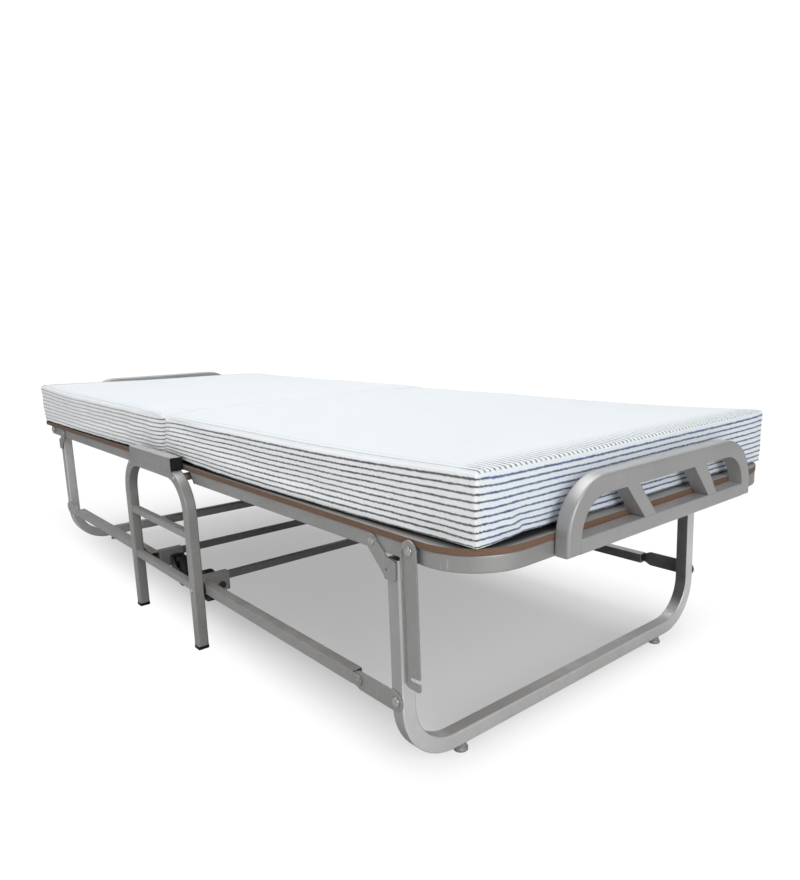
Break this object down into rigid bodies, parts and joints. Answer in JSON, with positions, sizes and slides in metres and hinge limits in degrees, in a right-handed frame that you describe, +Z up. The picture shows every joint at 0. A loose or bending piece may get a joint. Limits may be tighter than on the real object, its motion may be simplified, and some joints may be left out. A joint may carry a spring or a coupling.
{
  "type": "rollaway bed",
  "caption": "Folding bed on a central steel stand: each deck half folds up with its mattress half while a parallel linkage tucks in the U-leg and brings casters to the floor.",
  "frame": {"origin": "on the floor under the middle of the stand, with the bed open", "axes": "+X towards the foot half, +Z up, -Y towards the side that carries the latch strap"},
  "size_m": [1.985, 0.8404, 0.491],
  "materials": {
    "frame_paint": "satin powder coat",
    "end_rail_paint": "satin powder coat",
    "zinc_steel": "bright zinc",
    "black_plastic": "fine grain",
    "board": "grey laminate with a brown cut edge",
    "mattress_fabric": "woven ticking with thin dark stripes",
    "caster_tread": "matt rubber"
  },
  "bodies": {
    "stand": {"deck_pivot_rivets": "zinc_steel", "deck_pivot_sleeves": "zinc_steel", "guard_channels": "frame_paint", "guard_end_caps": "black_plastic", "link_pivot_rivets": "zinc_steel", "link_pivot_washers": "black_plastic", "stand_arch_back": "frame_paint", "stand_arch_front": "frame_paint", "stand_cross_tube": "frame_paint", "stand_foot_caps": "black_plastic", "stand_rungs": "frame_paint"},
    "foot_back_caster": {"foot_back_caster_axle": "zinc_steel", "foot_back_caster_fork": "zinc_steel"},
    "foot_back_wheel": {"foot_back_caster_wheel": "caster_tread"},
    "foot_link": {"foot_caster_brackets": "frame_paint", "foot_link_cross_bar": "frame_paint", "foot_link_end_plates": "frame_paint", "foot_link_rods": "frame_paint"},
    "foot_deck": {"foot_deck_board": "board", "foot_deck_cross_members": "frame_paint", "foot_deck_frame": "frame_paint", "foot_deck_hinge_arms": "frame_paint", "foot_end_rail_bar": "end_rail_paint", "foot_end_rail_frame": "end_rail_paint", "foot_leg_pivot_rivets": "zinc_steel", "foot_mattress_half": "mattress_fabric", "foot_rail_plugs": "black_plastic", "latch_strap_rivet": "zinc_steel"},
    "foot_front_caster": {"foot_front_caster_axle": "zinc_steel", "foot_front_caster_fork": "zinc_steel"},
    "foot_front_wheel": {"foot_front_caster_wheel": "caster_tread"},
    "foot_leg": {"foot_leg_glides": "frame_paint", "foot_leg_hinge_plates": "frame_paint", "foot_leg_link_rivets": "zinc_steel", "foot_leg_tube": "frame_paint"},
    "head_back_caster": {"head_back_caster_axle": "zinc_steel", "head_back_caster_fork": "zinc_steel"},
    "head_back_wheel": {"head_back_caster_wheel": "caster_tread"},
    "head_link": {"head_caster_brackets": "frame_paint", "head_link_cross_bar": "frame_paint", "head_link_end_plates": "frame_paint", "head_link_rods": "frame_paint"},
    "head_deck": {"head_deck_board": "board", "head_deck_cross_members": "frame_paint", "head_deck_frame": "frame_paint", "head_deck_hinge_arms": "frame_paint", "head_end_rail_bar": "end_rail_paint", "head_end_rail_frame": "end_rail_paint", "head_leg_pivot_rivets": "zinc_steel", "head_mattress_half": "mattress_fabric", "head_rail_plugs": "black_plastic", "latch_catch_stud": "zinc_steel"},
    "head_front_caster": {"head_front_caster_axle": "zinc_steel", "head_front_caster_fork": "zinc_steel"},
    "head_front_wheel": {"head_front_caster_wheel": "caster_tread"},
    "head_leg": {"head_leg_glides": "frame_paint", "head_leg_hinge_plates": "frame_paint", "head_leg_link_rivets": "zinc_steel", "head_leg_tube": "frame_paint"},
    "latch": {"latch_strap": "frame_paint"}
  },
  "joints": [
    {"name": "foot_fold", "type": "hinge", "parent": "stand", "child": "foot_deck", "pos_m": [0.126, 0, 0.3545], "axis": [0, -1, 0], "range_deg": [0, 90]},
    {"name": "foot_link_swing", "type": "hinge", "parent": "stand", "child": "foot_link", "pos_m": [0.166, 0, 0.126], "axis": [0, -1, 0], "range_deg": [0, 90]},
    {"name": "foot_leg_swing", "type": "hinge", "parent": "foot_deck", "child": "foot_leg", "pos_m": [0.762, 0, 0.3545], "axis": [0, -1, 0], "range_deg": [-90, 0]},
    {"name": "foot_front_caster_swivel", "type": "hinge", "parent": "foot_link", "child": "foot_front_caster", "pos_m": [0.105, -0.339, 0.11], "axis": [1, 0, 0], "continuous": true},
    {"name": "foot_front_caster_roll", "type": "hinge", "parent": "foot_front_caster", "child": "foot_front_wheel", "pos_m": [0.0675, -0.339, 0.092], "axis": [0, 1, 0], "continuous": true},
    {"name": "foot_back_caster_swivel", "type": "hinge", "parent": "foot_link", "child": "foot_back_caster", "pos_m": [0.105, 0.339, 0.11], "axis": [1, 0, 0], "continuous": true},
    {"name": "foot_back_caster_roll", "type": "hinge", "parent": "foot_back_caster", "child": "foot_back_wheel", "pos_m": [0.0675, 0.339, 0.092], "axis": [0, 1, 0], "continuous": true},
    {"name": "head_fold", "type": "hinge", "parent": "stand", "child": "head_deck", "pos_m": [-0.126, 0, 0.3545], "axis": [0, 1, 0], "range_deg": [0, 90]},
    {"name": "head_link_swing", "type": "hinge", "parent": "stand", "child": "head_link", "pos_m": [-0.166, 0, 0.126], "axis": [0, 1, 0], "range_deg": [0, 90]},
    {"name": "head_leg_swing", "type": "hinge", "parent": "head_deck", "child": "head_leg", "pos_m": [-0.762, 0, 0.3545], "axis": [0, 1, 0], "range_deg": [-90, 0]},
    {"name": "head_front_caster_swivel", "type": "hinge", "parent": "head_link", "child": "head_front_caster", "pos_m": [-0.105, -0.339, 0.11], "axis": [1, 0, 0], "continuous": true},
    {"name": "head_front_caster_roll", "type": "hinge", "parent": "head_front_caster", "child": "head_front_wheel", "pos_m": [-0.0675, -0.339, 0.092], "axis": [0, 1, 0], "continuous": true},
    {"name": "head_back_caster_swivel", "type": "hinge", "parent": "head_link", "child": "head_back_caster", "pos_m": [-0.105, 0.339, 0.11], "axis": [1, 0, 0], "continuous": true},
    {"name": "head_back_caster_roll", "type": "hinge", "parent": "head_back_caster", "child": "head_back_wheel", "pos_m": [-0.0675, 0.339, 0.092], "axis": [0, 1, 0], "continuous": true},
    {"name": "latch_swing", "type": "hinge", "parent": "foot_deck", "child": "latch", "pos_m": [0.85, -0.396, 0.36], "axis": [0, 1, 0], "range_deg": [0, 180]}
  ],
  "couplings": [
    {"joint": "foot_link_swing", "follows": "foot_fold", "ratio": 1},
    {"joint": "foot_leg_swing", "follows": "foot_fold", "ratio": -1},
    {"joint": "head_link_swing", "follows": "head_fold", "ratio": 1},
    {"joint": "head_leg_swing", "follows": "head_fold", "ratio": -1}
  ]
}
